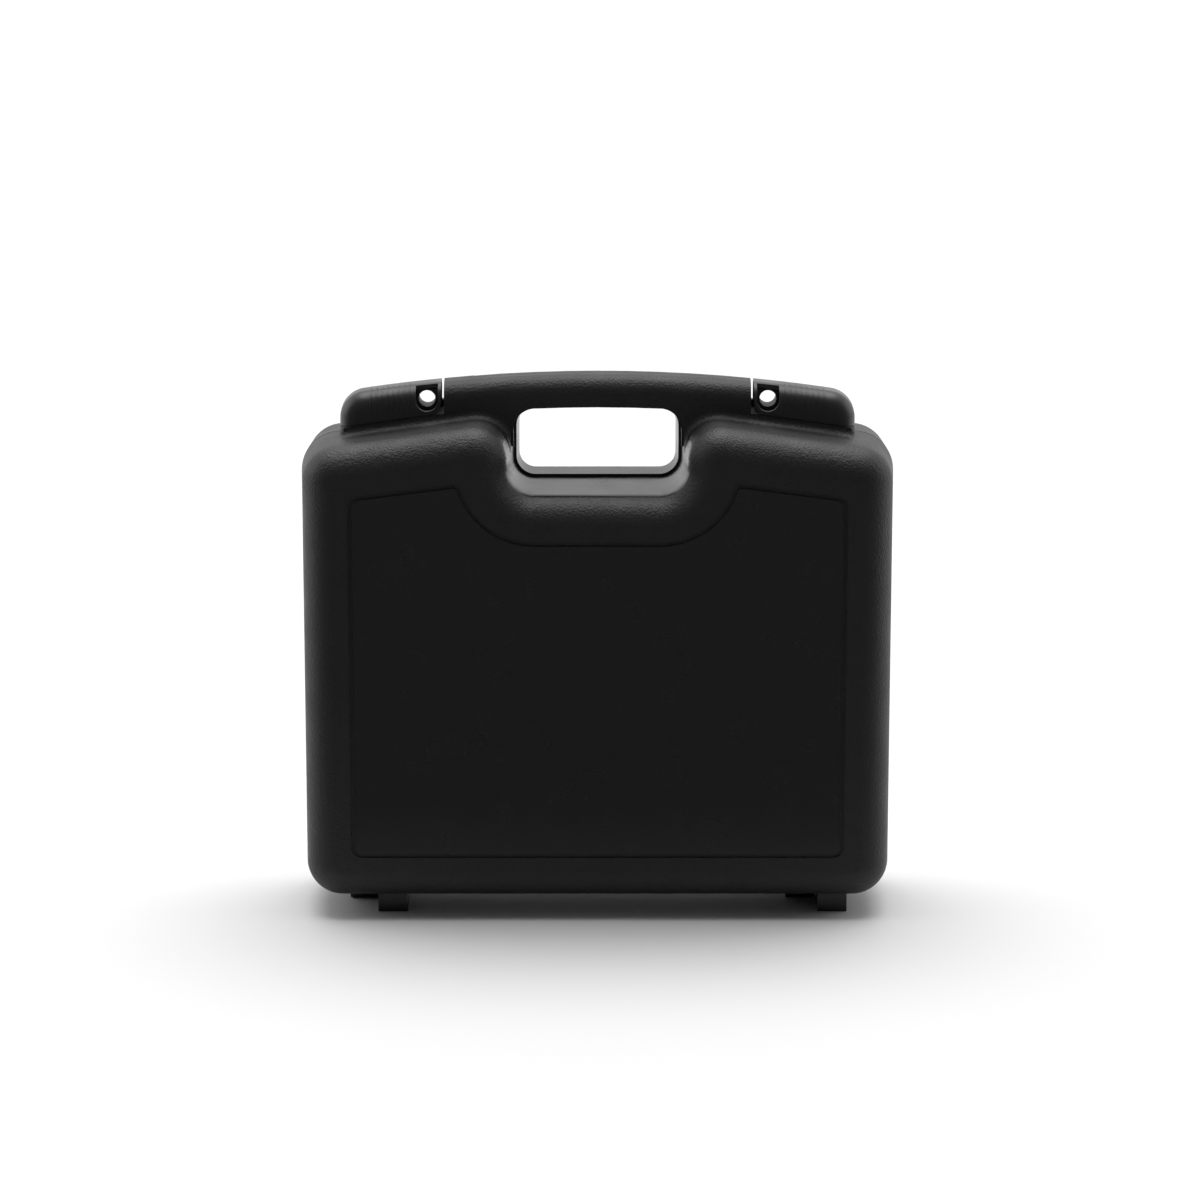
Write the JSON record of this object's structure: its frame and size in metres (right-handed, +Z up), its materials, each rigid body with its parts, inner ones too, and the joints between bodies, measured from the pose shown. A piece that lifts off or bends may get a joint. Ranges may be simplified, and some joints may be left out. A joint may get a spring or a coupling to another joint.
{
  "type": "tool case",
  "caption": "Black moulded plastic carrying case with a handle in its top edge, sliding latches with padlock holes, hinged feet and a foam lining.",
  "frame": {"origin": "on the floor under the middle of the parting plane, with the case closed and standing on its feet", "axes": "+X along the width, -Y towards the front (the lid), +Z up"},
  "size_m": [0.3, 0.086, 0.2766],
  "materials": {
    "shell": "grained",
    "latch": "satin",
    "pin": "bright",
    "foam": "open-cell foam"
  },
  "bodies": {
    "base": {"rear_shell": "shell", "hinge_pin_left": "pin", "hinge_pin_right": "pin", "base_foam_block": "foam", "base_foam_pad": "foam"},
    "lid": {"front_shell": "shell", "lid_foam": "foam"},
    "latch_left": {"latch_left": "latch"},
    "latch_right": {"latch_right": "latch"}
  },
  "joints": [
    {"name": "lid_hinge", "type": "hinge", "parent": "base", "child": "lid", "pos_m": [0, 0, 0.0043], "axis": [1, 0, 0], "range_deg": [0, 180]},
    {"name": "latch_left_slide", "type": "slide", "parent": "lid", "child": "latch_left", "axis": [-0.9903, 0, -0.1392], "range_m": [0, 0.01]},
    {"name": "latch_right_slide", "type": "slide", "parent": "lid", "child": "latch_right", "axis": [0.9903, 0, -0.1392], "range_m": [0, 0.01]}
  ]
}
